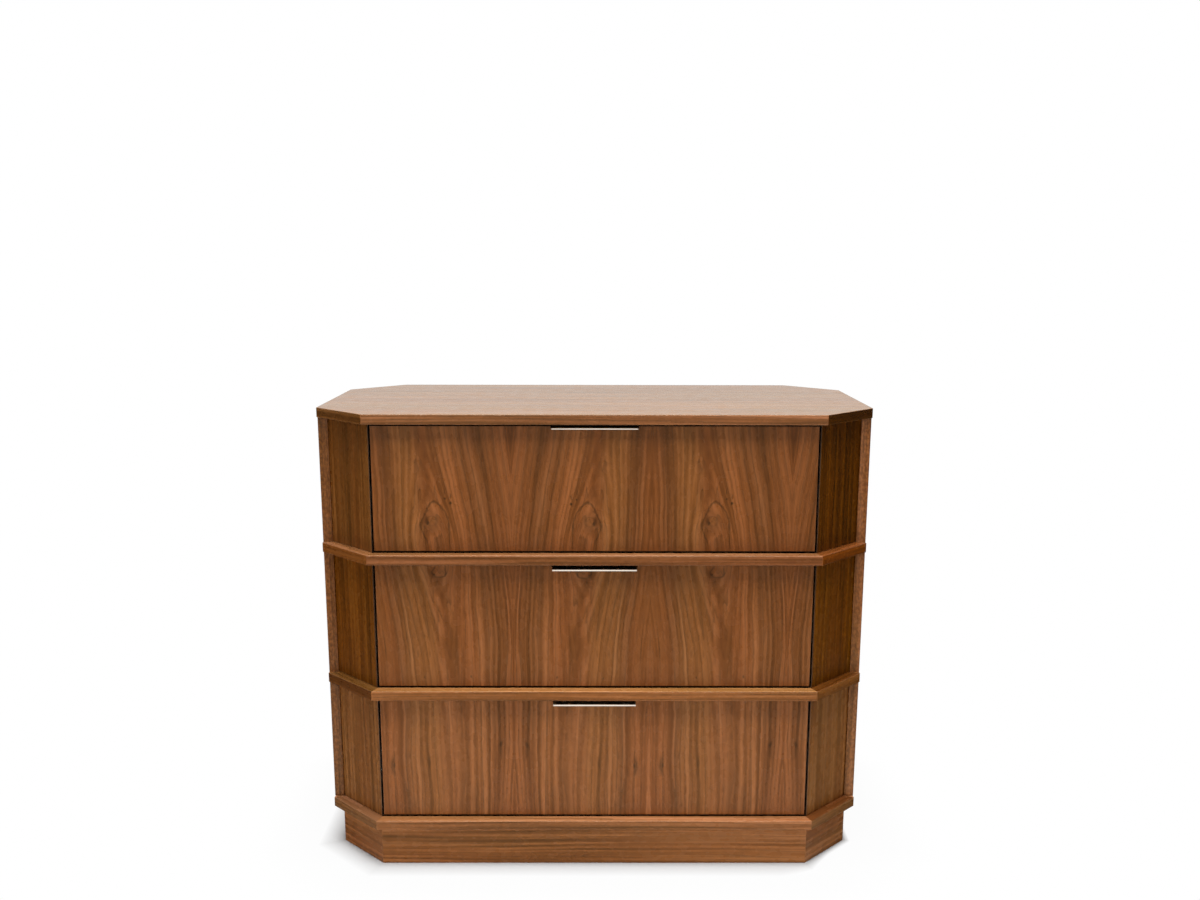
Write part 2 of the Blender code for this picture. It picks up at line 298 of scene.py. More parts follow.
def make_walnut():
    tree = bpy.data.node_groups.new("walnut grain", "ShaderNodeTree")
    given_names = ("Ring", "Across", "Along", "Seed", "Stripe")
    for label in given_names:
        tree.interface.new_socket(label, in_out="INPUT", socket_type="NodeSocketFloat")
    for label, kind in (("Colour", "Color"), ("Roughness", "Float"), ("Height", "Float")):
        tree.interface.new_socket(label, in_out="OUTPUT", socket_type="NodeSocket" + kind)
    given = tree.nodes.new("NodeGroupInput").outputs
    result = tree.nodes.new("NodeGroupOutput").inputs
    ring, across, along, seed, stripe = (Wired(given[label]) for label in given_names)

    def rings(per_metre, length_per_metre, shift, detail):
        """Noise that changes fast across the rings and slowly along them."""
        return noise(ring * per_metre, along * length_per_metre + seed * 1.7, seed + shift, detail)

    def late_wood(rings_per_metre, drift, sharpness):
        """Each ring darkens slowly and ends at once, so the line has one soft side and one sharp side."""
        return calc("FRACT", ring * rings_per_metre + drift * 6.0) ** sharpness

    bands = rings(24.0, 0.8, 0.0, 2.0)
    stripes = rings(125.0, 1.5, 5.3, 1.0)
    lines = rings(270.0, 2.6, 9.1, 1.0)
    fibres = noise(across * 650.0, along * 30.0, seed, 0.0)
    ripple = noise(across * 60.0, along * 45.0, seed + 3.1, 1.0)
    tone = weighted(0.5, (0.55, bands), (0.80, lines), (0.16, fibres), (0.10, ripple), (stripe, stripes))
    colour = ramp(tone, (0.12, walnut_dark), (0.38, walnut_brown), (0.54, walnut_middle), (0.88, walnut_tan))
    wide = late_wood(105.0, bands, 4.5) * fade(stripes, 0.38, 0.56, 0.25, 1.0)
    fine = late_wood(180.0, stripes, 3.5) * fade(bands, 0.62, 0.42, 0.30, 1.0)
    colour = tinted(wide * 0.75, colour, (0.42, 0.45, 0.40))
    colour = tinted(fine * 0.45, colour, (0.48, 0.49, 0.45))
    # Pores are short dark scratches in the lacquer
    pores = fade(fibres, 0.60, 0.74)
    colour = tinted(pores * 0.40, colour, (0.44, 0.44, 0.40))
    # Heartwood drifts between a redder and a greyer brown
    reddish = noise(ring * 14.0, along * 1.1, seed + 7.7)
    colour = tinted(fade(reddish, 0.50, 0.70), colour, (1.03, 0.96, 0.92))
    feed(result["Colour"], tinted(fade(reddish, 0.50, 0.32), colour, (0.97, 1.02, 0.98)))
    feed(result["Roughness"], weighted(0.27, (0.10, stripes), (0.12, ripple)))
    feed(result["Height"], ripple - pores * 0.8)
    return tree


def use_walnut(**place):
    """Walnut's colour, roughness and height at a place. Keywords are the group's inputs in lower case."""
    made = tree_of(*place.values()).nodes.new("ShaderNodeGroup")
    made.node_tree = walnut_grain
    for label, value in place.items():
        feed(made.inputs[label.capitalize()], value)
    return {output.name: Wired(output) for output in made.outputs}


walnut_grain = make_walnut()
print("walnut group:", len(walnut_grain.nodes), "nodes")

# %% [markdown]
# ## Lacquer, rubbed edges and painted shade
#
# The real boards have a thin satin lacquer: enough gloss to turn the top pale where it is seen almost edge
# on, and little gloss face on. That is what a Principled shader does by itself, so its gloss values stay
# plain numbers. Old lacquer yellows, so its mirror image is tinted amber. Sharp edges are rubbed down with
# sandpaper before the lacquer, and they catch light. Their lighter colour here is partly that wear and
# partly a painted highlight. A Bevel node compares the rounded normal with the true one, which marks the
# edges on any board without unwrapping. Black painted shade, where a board has it, covers the rubbed edges
# too.

# %% Helpers that finish a walnut board
pore_depth = 0.00005
edge_radius = 0.0028
# Rubbed edges are lighter: partly wear, partly a painted highlight
rubbed_edge_and_highlight = (0.42, 0.23, 0.14)
amber = (1.0, 0.90, 0.70)
# Black painted shade, put where the gaps would be dark
painted_black_shade = (0.004, 0.0032, 0.0028)


def new_finish(name):
    """An empty material: (material, inputs of its Principled shader, place and facing of a point)."""
    material = bpy.data.materials.new(name)
    material.use_nodes = True
    return material, material.node_tree.nodes["Principled BSDF"].inputs, *surface(material.node_tree)


def bumped(height, strength, depth, **normal):
    """A normal that follows the height, which runs from 0 to 1 over the given depth in metres."""
    inputs = {"Height": height, "Strength": strength, "Distance": depth, **normal}
    return Wired(add_node(tree_of(height), "Bump", inputs)[0])


def lacquer(shader, wood, colour, ior=1.45, gap_shade=None):
    """Satin lacquer over a wood's roughness and height and over a colour. Edges are lightened, partly as
    painted highlight. Black, as painted shade, where gap_shade is 1.
    """
    tree = tree_of(colour)
    rounded = Wired(add_node(tree, "Bevel", {"Radius": edge_radius}, samples=8)[0])
    flat = Wired(add_node(tree, "NewGeometry", {})["True Normal"])
    edge = fade(vector_calc("DOT_PRODUCT", rounded, flat), 0.985, 0.80)
    # Edges are lightened: partly rubbed wear, partly a painted highlight where they catch light
    colour = blend(edge * 0.35, colour, rubbed_edge_and_highlight)
    # Painted black shade in the gaps covers the rubbed edges too
    if gap_shade is not None:
        colour = blend(gap_shade, colour, painted_black_shade)
    feed(shader["Base Color"], colour)
    feed(shader["Roughness"], wood["Roughness"])
    feed(shader["Normal"], bumped(wood["Height"], 0.12, pore_depth, Normal=rounded))
    feed(shader["IOR"], ior)
    feed(shader["Specular Tint"], amber)


def wear(material, *names, slot="walnut_veneer"):
    """Give CAD nodes a finish, in the object's own slot so that the CAD mesh stays as it is."""
    for name in names:
        worn = nodes[name].material_slots[0]
        worn.link = "OBJECT"
        worn.material = material


print("edges rubbed over", 1000 * edge_radius, "mm")

# %% [markdown]
# ## Straight-grained boards
#
# Panels, partitions and drawer sides are plain boards with grain along their length. The finish needs to
# know three directions: along the grain, across the board's width, and through its thickness. A dot product
# with each turns a point into those places, and works for canted boards too. Where a face points along the
# grain it is an end, and there the edge strip's grain runs across the board.

# %% Places on a board
def board_place(place, facing, run, width):
    """Where a point lies on a board: (across, along, 1 on its ends). Run and width are directions."""
    run, width = Vector(run).normalized(), Vector(width).normalized()
    by_run, by_width, through = (vector_calc("DOT_PRODUCT", place, tuple(way))
                                 for way in (run, width, run.cross(width)))
    end = abs(vector_calc("DOT_PRODUCT", facing, tuple(run))) > 0.7
    return choose(end, through * 0.8 + by_width, through + 0.37), choose(end, by_run, by_width), end


def straight_grain(across, along, seed, stripe, sway=0.006):
    """Walnut whose rings run straight and sway a little along the board."""
    slow = noise(across * 5.0, along * 2.2, seed)
    quick = noise(across * 30.0, along * 11.0, seed)
    ring = weighted(across, (sway * 2, slow), (0.0024, quick))
    return use_walnut(ring=ring, across=across, along=along, seed=seed, stripe=stripe)


def mottled_edges(colour, place, facing, width, edging):
    """The narrow faces along a board's length wear edging strips, with their own tint, partly painted light,
    and dark fleck.
    """
    x, y, z = unpack(place)
    fleck = fade(noise((x + y) * 260.0, z * 150.0, 0.0, 1.0), 0.62, 0.40)
    narrow = abs(vector_calc("DOT_PRODUCT", facing, width)) > 0.7
    return tinted(fleck * narrow, tinted(narrow, colour, edging), (0.62, 0.60, 0.62))


def straight_walnut(name, run, width, seed, stripe=0.6, painted_shade=(1.0, 1.0, 1.0), gap_shaded_end=None,
                    edging=(1.0, 1.0, 1.0)):
    """A board's finish. Painted_shade multiplies its colour: below 1 it is painted shade, above 1 painted
    light. The end at the x of gap_shaded_end is painted black, as shade in the gap beside a drawer.
    """
    material, shader, place, facing = new_finish(name)
    across, along, end = board_place(place, facing, run, width)
    wood = straight_grain(across, along, seed, stripe)
    # Painted shade and light: a tint below 1 darkens the board and above 1 lightens it
    colour = tinted(1.0, mottled_edges(wood["Colour"], place, facing, width, edging), painted_shade)
    gap_shade = None
    # Painted black shade on the end that lies in the gap beside a drawer
    if gap_shaded_end is not None:
        gap_shade = fade(abs(unpack(place)[0] - gap_shaded_end), 0.0014, 0.0008)
    lacquer(shader, wood, colour, gap_shade=gap_shade)
    return material


print("straight-grained walnut ready")

# %% [markdown]
# ## Canted and side panels
#
# The corner panels stand at 45 degrees between the ledges, veneered with straight upright stripes. Each one
# is its own piece of veneer, and each is painted with shade and light: darkest at the top and on the right,
# lighter at the bottom. Left and right ones face different ways. So six finishes are made by one loop, each
# with its own direction, painted shade and seed. The end beside a drawer is painted black, as shade in the
# gap. The sides and the back are wider sheets of the same veneer, and the square front edges of the sides
# wear a paler strip, whose extra paleness on the right is painted light.

# %% Veneer the panels
# Painted shade and light on the corner panels: darkest at the top and on the right, lighter at the bottom
canted_painted_shade = {
    "left": {"upper": (0.91, 0.96, 0.75), "middle": (0.82, 0.73, 0.22), "lower": (1.15, 1.28, 1.30)},
    "right": {"upper": (0.57, 0.50, 0.02), "middle": (0.76, 0.70, 0.05), "lower": (1.13, 1.24, 1.15)},
}
# Paler edging on the sides' front edges; the right one's extra paleness is painted light
side_edging_and_painted_light = {"left": (1.02, 1.12, 1.25), "right": (1.62, 1.80, 2.45)}
for side, sign in sides.items():
    for number, level in enumerate(levels):
        panel = "_".join((side, "canted_panel", level))
        beside_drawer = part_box(panel)[0 if sign > 0 else 1][0]
        seed = 4.2 + 3.1 * number + 11.7 * sign
        wear(straight_walnut("_".join((side, level, "corner veneer")), up, (1, sign, 0), seed, 1.15,
                             canted_painted_shade[side][level], beside_drawer), panel)
    wear(straight_walnut(side + " side veneer", up, back, 43.0 + 2.3 * sign, edging=side_edging_and_painted_light[side]),
         side + "_side_panel")
    wear(straight_walnut(side + " rear corner veneer", up, (1, -sign, 0), 53.0 + 2.7 * sign),
         side + "_rear_canted_panel")
wear(straight_walnut("back veneer", up, right, 17.9), "back_panel")
print("panels veneered")

# %% [markdown]
# ## Partitions and dark reveals
#
# The upright boards beside the drawers carry the slides. All round an opening, the strip that the drawer
# front covers is painted black as shade, so that the narrow gap round the front reads as one crisp dark
# line. The painted shade is a colour change at a set depth behind the face, with a slightly uneven edge
# made by noise. It goes on the partitions here, and on the ledges further down.

# %% Paint shade on the partitions' front strips
drawer_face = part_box("lower_drawer_front")[0][1]
reveal_depth = 0.018


def stained(colour, x, y, inside):
    """Colour with painted black shade in the reveal, where inside is 1 within the opening's width."""
    # Noise makes the edge of the painted shade a little uneven
    brush = noise(x * 160.0, y * 160.0, 2.0)
    depth = weighted(y - drawer_face, (0.002, brush))
    dark = fade(depth, 0.0, 0.0012) * fade(depth, reveal_depth, reveal_depth - 0.0010)
    return blend(dark * inside, colour, painted_black_shade)


def partition_walnut(name, sign, seed):
    material, shader, place, facing = new_finish(name)
    across, along, end = board_place(place, facing, up, back)
    wood = straight_grain(across, along, seed, 0.5)
    x, y, z = unpack(place)
    inwards = unpack(facing)[0] * -sign > 0.9
    lacquer(shader, wood, stained(wood["Colour"], z, y, inwards))
    return material


for side, sign in sides.items():
    wear(partition_walnut(side + " partition veneer", sign, 23.5 + sign), side + "_partition")
print("drawer faces lie at y =", round(1000 * drawer_face, 1), "mm")

# %% [markdown]
# ## Matched leaves on the drawer fronts
#
# A log is sliced into thin leaves that are laid side by side like the pages of a book, so each leaf mirrors
# its neighbour. The three drawer fronts are cut from one such sheet, which is why the figure flows over the
# ledges from drawer to drawer. A Ping-Pong node folds the sheet's width into one leaf. In each leaf the
# rings are long leaning ovals. Their measure is the distance to a leaning line, blunted near the middle of
# the crown so that the innermost rings close there.

# %% Make the ring measure of a leaf
leaf_width = 0.2508
first_seam = -0.4000
crown = (0.112, 0.620)  # middle of the ovals: across the leaf, height
crown_lean = 0.10
crown_swell = 0.046  # half the width of the widest closed oval
crown_reach = 0.11  # height over which the ovals close
crown_blunt = 0.010


def leaf_place(x, z):
    """Place in the leaf (across, height) of a point on the drawer fronts."""
    from_seam = x - first_seam
    number = calc("FLOOR", from_seam / leaf_width)
    # No two leaves are quite alike: each sits a few millimetres up or down and sways by itself
    slip = noise(number * 3.7, 0.0, 0.0)
    sway = noise(x * 4.0, z * 4.0, number)
    return weighted(calc("PINGPONG", from_seam, leaf_width), (0.008, sway)), weighted(z, (0.020, slip))


def leaf_ring(across, height):
    """Ring measure of the crown figure, and the signed place across it."""
    slow = noise(across * 7.0, height * 3.0, 0.7)
    quick = noise(across * 30.0, height * 10.0, 2.9)
    up_middle = height - crown[1]
    # The crown leans with the trunk down to the middle drawer, and stands upright below
    lean = calc("SMOOTH_MAX", up_middle, -0.19, 0.08) * crown_lean
    off_middle = weighted(across - crown[0] + lean, (0.026, slow), (0.007, quick))
    up_squared = up_middle * up_middle
    swell = calc("SQRT", up_squared / (up_squared + crown_reach ** 2)) * crown_swell
    return vector_calc("LENGTH", pack(off_middle, swell, crown_blunt)), off_middle


print("leaves", round(1000 * leaf_width), "mm wide")

# %% [markdown]
# ## Knots and pin marks
#
# A knot is where a twig once left the trunk. It is a small dark eye beside a light oval. Each leaf also has
# small pin marks and a few dark streaks. All of them are soft ovals, so a list of places and sizes is
# enough. They are written in the leaf's own measure, and the book match then repeats them for free.

# %% Make the eyes of the knots, pin marks and streaks
marks = (  # across the leaf, height, half width, half height, darkness
    (0.1020, 0.6610, 0.0034, 0.0068, 0.95), (0.1000, 0.6680, 0.0060, 0.0100, 0.50),
    (0.1080, 0.6600, 0.0240, 0.0300, 0.34), (0.1010, 0.7060, 0.0120, 0.0160, 0.22),
    (0.1338, 0.7060, 0.0024, 0.0030, 0.85), (0.1440, 0.6980, 0.0030, 0.0040, 1.00),
    (0.1324, 0.7190, 0.0016, 0.0080, 0.60), (0.1437, 0.7095, 0.0017, 0.0085, 0.65),
    (0.1115, 0.5655, 0.0030, 0.0036, 0.90), (0.1180, 0.5500, 0.0200, 0.0260, 0.30),
    (0.0240, 0.1960, 0.0056, 0.0280, 0.60), (0.0270, 0.1970, 0.0030, 0.0100, 0.85),
    (0.2280, 0.2390, 0.0042, 0.0100, 0.70), (0.2270, 0.2300, 0.0055, 0.0280, 0.34),
    (0.0930, 0.2050, 0.0036, 0.0190, 0.45), (0.1730, 0.3720, 0.0020, 0.0044, 0.80),
    (0.0860, 0.3700, 0.0020, 0.0040, 0.65),
)
light_oval = (0.1090, 0.6645, 0.0085, 0.0080, 1.0)


def spot(here, across, height, half_width, half_height, darkness):
    """A soft oval, dark in the middle."""
    offset = vector_calc("SUBTRACT", here, (across, height, 0.0))
    scaled = vector_calc("MULTIPLY", offset, (1 / half_width, 1 / half_height, 0.0))
    return fade(vector_calc("LENGTH", scaled), 0.25, 1.0, darkness, 0.0)


print(len(marks), "soft marks in each leaf")

# %% [markdown]
# ## Horseshoes round the knots
#
# One ring bends round each knot like a horseshoe. The upper knot's opens downwards and the lower one's
# upwards, and two small ones meet round the light oval. The curve is that of an oval whose squares are
# replaced by another power: the higher the power, the squarer the bend.

# %% Bend rings round the knots
horseshoes = (  # middle across, height, half width, reach, 1 opens down and -1 up, power, darkness
    (0.1150, 0.6550, 0.0250, 0.0460, 1, 1.5, 0.62), (0.1085, 0.6650, 0.0098, 0.0088, 1, 2.0, 0.55),
    (0.1085, 0.6650, 0.0098, 0.0088, -1, 2.0, 0.50), (0.1200, 0.5720, 0.0115, 0.0110, -1, 3.0, 0.70),
)


def horseshoe(across, height, middle, level, half_width, reach, opening, power, darkness):
    """A thin line bent round a knot, with legs that run on along the grain and fade."""
    outwards = (height - level) / (opening * reach)
    # Below its widest place the line pinches in from one side only
    pinch = calc("MAXIMUM", outwards * -1.0, 0.0) * 0.33
    sideways = abs(((across - middle) / half_width - pinch) / (1.0 - pinch))
    round_end = (sideways ** power + calc("MAXIMUM", outwards, 0.0) ** power) ** (1 / power)
    line = fade(abs(round_end - 1.0) * half_width, 0.0024, 0.0004, 0.0, darkness)
    return line * fade(outwards, -1.4, -0.4)


def mark_darkness(across, height):
    """(how dark the knots and pin marks are, how light the ovals are) at a point of the leaf."""
    across = weighted(across, (0.010, noise(across * 60.0, height * 45.0, 0.0)))
    here = pack(across, height, 0.0)
    darkest = 0.0
    for mark in marks:
        darkest = calc("MAXIMUM", darkest, spot(here, *mark))
    for shape in horseshoes:
        darkest = calc("MAXIMUM", darkest, horseshoe(across, height, *shape))
    return darkest, spot(here, *light_oval)


print(len(horseshoes), "bent lines in each leaf")

# %% [markdown]
# ## Drawer fronts
#
# The three fronts are cut from the one matched sheet. Towards the seams of its leaves the wood turns redder
# and darker, and in the middle of a leaf it is lighter and calmer. The sheet is also painted lighter towards
# the bottom and darker towards the top, which is painted light and shade. The top and bottom edges of each
# front are banded with a strip whose grain runs along the edge, and the outermost millimetre all round is
# painted black, as shade in the gaps.

# %% Veneer the drawer fronts
leaf_zones = (  # middle across the leaf, half width, how much lighter
    (0.034, 0.020, -0.085), (0.078, 0.028, 0.060), (0.158, 0.026, 0.045), (0.205, 0.026, -0.055),
)


def front_zones(z, off_middle):
    """Brightness of the sheet: painted light that makes it lighter towards the bottom, and zones across each
    leaf that follow its lean.
    """
    # Painted light: the sheet is lighter towards the bottom and darker towards the top
    painted_light_and_zone = fade(z, 0.28, 0.60, 1.06, 0.91)
    for middle, half_width, change in leaf_zones:
        away = abs(off_middle + crown[0] - middle)
        painted_light_and_zone = painted_light_and_zone + fade(away, half_width, 0.0, 0.0, 2.2 * change)
    return painted_light_and_zone


def matched_walnut():
    material, shader, place, facing = new_finish("matched drawer veneer")
    x, y, z = unpack(place)
    across, height = leaf_place(x, z)
    ring, off_middle = leaf_ring(across, height)
    end = abs(unpack(facing)[2]) > 0.7
    flat = 1.0 - end
    strip, through = y + 0.5, y * 0.8
    wood = use_walnut(ring=choose(end, ring + through, strip), across=choose(end, across + through, strip),
                      along=choose(end, z, x), seed=fade(off_middle, -0.035, 0.035, 0.0, 1.4), stripe=0.90)
    brightness_with_painted_light = front_zones(z, off_middle)
    colour = vector_calc("MULTIPLY", wood["Colour"], pack(brightness_with_painted_light, brightness_with_painted_light, brightness_with_painted_light))
    seam_distance = calc("MINIMUM", across, leaf_width - across)
    colour = tinted(fade(seam_distance, 0.060, 0.020), colour, (1.02, 0.955, 0.93))
    dark, light = mark_darkness(across, height)
    colour = tinted(light * flat, colour, (1.35, 1.36, 1.32))
    colour = tinted(dark * flat, colour, (0.22, 0.28, 0.24))
    colour = tinted(fade(seam_distance, 0.0004, 0.0001) * flat * 0.25, colour, (0.5, 0.45, 0.4))
    # Painted black shade on the outermost millimetre all round, where the gaps round the front are dark
    from_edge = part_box("lower_drawer_front")[1][0] - abs(x)
    for edge in (corner[2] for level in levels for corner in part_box(level + "_drawer_front")):
        from_edge = calc("MINIMUM", from_edge, abs(z - edge))
    lacquer(shader, wood, colour, gap_shade=fade(from_edge, 0.0011, 0.0006))
    return material


drawer_veneer = matched_walnut()
wear(drawer_veneer, *(level + "_drawer_front" for level in levels))
print("drawer fronts:", len(drawer_veneer.node_tree.nodes), "nodes")

# %% [markdown]
# ## Ledges with mitred lippings
#
# The boards between the drawers are edged with solid walnut strips, mitred at each of the eight corners, so
# on a ledge the grain follows each edge in turn. On the top the sheet veneer runs from end to end and only
# a thin edging shows. Both are one finish with a different strip width. The distance to the nearest edge of
# the eight-sided plan tells which strip a point is in, and where two distances are equal lies a mitre. On
# upright faces the grain follows the face round the board.

# %% Places on an eight-sided board
half_width, half_depth, corner_cut = cad_high.x, cad_high.y, 0.100
corner_line = half_width + half_depth - corner_cut


def nearest_edge(x, y):
    """Distance to the nearest edge, place along it, distance from a mitre, seed, and 1 on a canted strip."""
    to_side, to_front = half_width - abs(x), half_depth - abs(y)
    to_corner = (corner_line - abs(x) - abs(y)) * math.sqrt(0.5)
    straight = calc("MINIMUM", to_side, to_front)
    canted = to_corner < straight
    sideways = to_side < to_front
    along = choose(canted, choose(sideways, x, y), (abs(x) - abs(y)) * math.sqrt(0.5))
    nearest = calc("MINIMUM", straight, to_corner)
    return nearest, along, abs(to_corner - straight), canted * 3.3 + sideways * 5.9, canted


def banded_place(x, y, facing):
    """(place along the face, seed) on upright faces."""
    nx, ny, nz = unpack(vector_calc("NORMALIZE", vector_calc("MULTIPLY", facing, (1.0, 1.0, 0.0))))
    return y * nx - x * ny, nx * 2.3 + ny * 4.1


print("corners cut off at", 1000 * corner_cut, "mm")

# %% [markdown]
# ## Edging the eight-sided boards
# One function makes the finish of all four boards. It asks whether a point is on an upright face, in a
# strip or in the field, and takes the grain's direction, the seed and the tint from the answer; the tints
# are painted light and shade. Joints are hair lines. The undersides are painted black from a little ahead
# of the drawer fronts, as shade, so that the pulls below mirror a dark strip, as they do in the photograph.

# %% Make the finish of the eight-sided boards
edge_stripe = 1.30
underside_shade_lead = 0.012
opening_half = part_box("right_partition")[0][0]


def edged_walnut(name, strip, seed, bands, face_painted_light, corner_painted_shade, opening_above=True, ior=1.45):
    """Finish of an eight-sided board whose edging strips are this wide.

    Bands are how strong the top face's stripes are. Face_painted_light holds the tints of the top face and
    of
    the upright faces: painted light for the light that each board gets, and on the top faces painted sheen.
    Corner_painted_shade holds the same for the strips on the left corners and then for those on the right
    ones, painted shade. Opening_above is False where no drawer lies above the board.
    """
    material, shader, place, facing = new_finish(name)
    x, y, z = unpack(place)
    nx, ny, nz = unpack(facing)
    nearest, strip_along, mitre, strip_seed, canted = nearest_edge(x, y)
    in_strip = nearest < strip
    upright = abs(nz) < 0.5

    def by_face(top_tint, upright_tint):
        return blend(upright, top_tint, upright_tint)

    upright_along, upright_seed = banded_place(x, y, facing)
    across = choose(upright, choose(in_strip, y, nearest + 1.3), z)
    along = choose(upright, choose(in_strip, x, strip_along), upright_along)
    own_seed = choose(upright, in_strip * strip_seed, upright_seed) + seed
    wood = straight_grain(across, along, own_seed, choose(upright, bands, edge_stripe), sway=0.004)
    inner_joint = fade(abs(nearest - strip), 0.0004, 0.0001)
    joint = calc("MAXIMUM", fade(mitre, 0.0005, 0.0001) * in_strip, inner_joint)
    # Painted light and sheen: each face is tinted lighter or darker for the light it gets
    colour = tinted(1.0, wood["Colour"], by_face(*face_painted_light))
    colour = tinted(joint * (1.0 - upright) * 0.6, colour, (0.35, 0.28, 0.22))
    # Painted shade on the canted strips and faces
    corner_shade_mask = choose(upright, canted * in_strip, fade(abs(nx * ny), 0.2, 0.4))
    left_painted_shade, right_painted_shade = corner_painted_shade
    colour = tinted(corner_shade_mask, colour, blend(x > 0.0, by_face(*left_painted_shade), by_face(*right_painted_shade)))
    # Painted black shade round each opening, and on the undersides from a little ahead of the fronts
    facing_opening = abs(nz) if opening_above else nz * -1.0
    inside = fade(abs(x), opening_half + 0.0005, opening_half) * (facing_opening > 0.9)
    lacquer(shader, wood, stained(colour, x, (nz < -0.9) * underside_shade_lead + y, inside), ior)
    return material


print("undersides stained from", 1000 * underside_shade_lead, "mm ahead of the drawer fronts")

# %% [markdown]
# ## The top and the three ledges
#
# Each board is a different piece of timber, and so is each strip on its corners, but their tints are
# painted light and shade: they say how much lighter or darker a face is painted than the group's walnut,
# for the light it gets and, on the tops, for sheen. A table with one row for each ledge keeps them side by
# side. The top is a little glossier than the ledges.

# %% Edge the top and the ledges
ledge_strip, top_strip = 0.026, 0.0028
untinted = (1.0, 1.0, 1.0)
# The top's face tints are painted light and sheen, and its corner tints painted shade
wear(edged_walnut("top veneer", top_strip, 31.0, 0.30, ((1.05, 1.28, 0.75), (1.15, 1.24, 1.70)),
                  ((untinted, (0.62, 0.66, 0.42)), (untinted, (0.25, 0.20, 0.00))),
                  opening_above=False, ior=1.50),
     "top_board", slot="walnut_edge")
# The ledges' face tints are painted light and sheen, and their corner tints painted shade
ledge_finishes = {  # seed, tints of the top and upright faces, of the left corners, of the right corners
    "upper_divider": (37.4, ((1.40, 1.75, 2.70), (0.97, 0.98, 1.20)),
                      (untinted, (1.05, 0.98, 0.58)), ((0.78, 0.56, 0.33), (1.22, 0.92, 0.20))),
    "lower_divider": (43.8, ((2.20, 2.90, 4.00), (1.28, 1.32, 1.35)),
                      ((0.36, 0.35, 0.25), (0.36, 0.30, 0.12)), ((0.31, 0.22, 0.10), (0.84, 0.82, 0.45))),
    "bottom_board": (49.2, ((2.20, 2.75, 4.60), (1.16, 1.24, 1.40)),
                     ((0.63, 0.69, 0.80), (0.64, 0.70, 0.62)), ((0.40, 0.32, 0.22), (0.84, 1.00, 0.85))),
}
for board, (seed, face_painted_light, *corner_painted_shade) in ledge_finishes.items():
    wear(edged_walnut(board.split("_")[0] + " ledge walnut", ledge_strip, seed, 0.60, face_painted_light, corner_painted_shade),
         board, slot="walnut_edge")
print("strips of", 1000 * ledge_strip, "mm on", len(ledge_finishes), "ledges")

# %% [markdown]
# ## Plinth
#
# The plinth's boards are folded round the canted corners, with their grain lying down. The same trick as on
# the ledges' edges follows the face round each fold, so one finish serves all four boards.

# %% Make the plinth's finish
def plinth_walnut():
    material, shader, place, facing = new_finish("plinth walnut")
    x, y, z = unpack(place)
    along, face_seed = banded_place(x, y, facing)
    wood = straight_grain(z, along, face_seed + 61.0, 1.50, sway=0.005)
    # Painted light: the tint lightens the whole plinth
    lacquer(shader, wood, tinted(1.0, wood["Colour"], (1.40, 1.44, 1.40)))
    return material


wear(plinth_walnut(), "plinth_front", "plinth_right", "plinth_back", "plinth_left", slot="walnut_edge")

# %% [markdown]
# ## Maple drawer boxes
#
# Inside the walnut case the drawers are maple boxes with plywood bottoms. Maple is pale, with short fine
# flecks and hardly any stripes, so it gets its own stretched noise. On the ends of a board fibres are seen
# head on: the colour is darker and the noise is dotted in place of stretched. The end is found from the way
# the face points.

# %% Make the maple
maple_faces = ((0.20, (0.38, 0.255, 0.140)), (0.50, (0.48, 0.340, 0.205)), (0.85, (0.56, 0.420, 0.275)))
maple_ends = ((0.25, (0.26, 0.160, 0.085)), (0.75, (0.40, 0.275, 0.160)))
fleck_depth = 0.00005


def maple(name, run, width, seed, ply=None):
    """Pale close-grained wood. With ply, the ends show plies of that thickness."""
    material, shader, place, facing = new_finish(name)
    across, along, end = board_place(place, facing, run, width)
    bands = noise(across * 34.0, along * 2.0, seed, 3.0)
    flecks = noise(across * 900.0, along * 60.0, seed, 1.0)
    here = unpack(place)
    dots = noise(*(part * 1300.0 for part in here), 2.0)
    end_tone = weighted(0.5, (0.8, dots), (0.8, bands))
    if ply:
        end_tone = (calc("FRACT", here[2] / (2 * ply)) > 0.5) * 0.5 + end_tone
    tone = weighted(0.5, (1.10, bands), (0.45, flecks))
    feed(shader["Base Color"], blend(end, ramp(tone, *maple_faces), ramp(end_tone, *maple_ends)))
    feed(shader["Roughness"], weighted(0.45, (0.2, bands), (0.15, flecks)))
    feed(shader["Normal"], bumped(flecks, 0.3, fleck_depth))
    return material


for number, level in enumerate(levels):
    wear(maple(level + " maple across", right, up, 5.0 + number),
         level + "_drawer_box_front", level + "_drawer_box_back", slot="drawer_maple")
    wear(maple(level + " maple along", back, up, 9.0 + number),
         level + "_drawer_left_side", level + "_drawer_right_side", slot="drawer_maple")
    wear(maple(level + " plywood", right, back, 15.0 + number, ply=0.0012), level + "_drawer_bottom",
         slot="drawer_plywood")
print("drawer boxes in maple")

# %% [markdown]
# ## Metals
#
# The pulls are satin nickel, warm and pale, and brushed from end to end. Brushing is many fine scratches
# side by side, so its noise is stretched along the pull and drives the roughness and a slight bump. The
# slides are zinc-plated steel: greyer and cloudy.

# %% Make the metals
scratch_depth = 0.00001


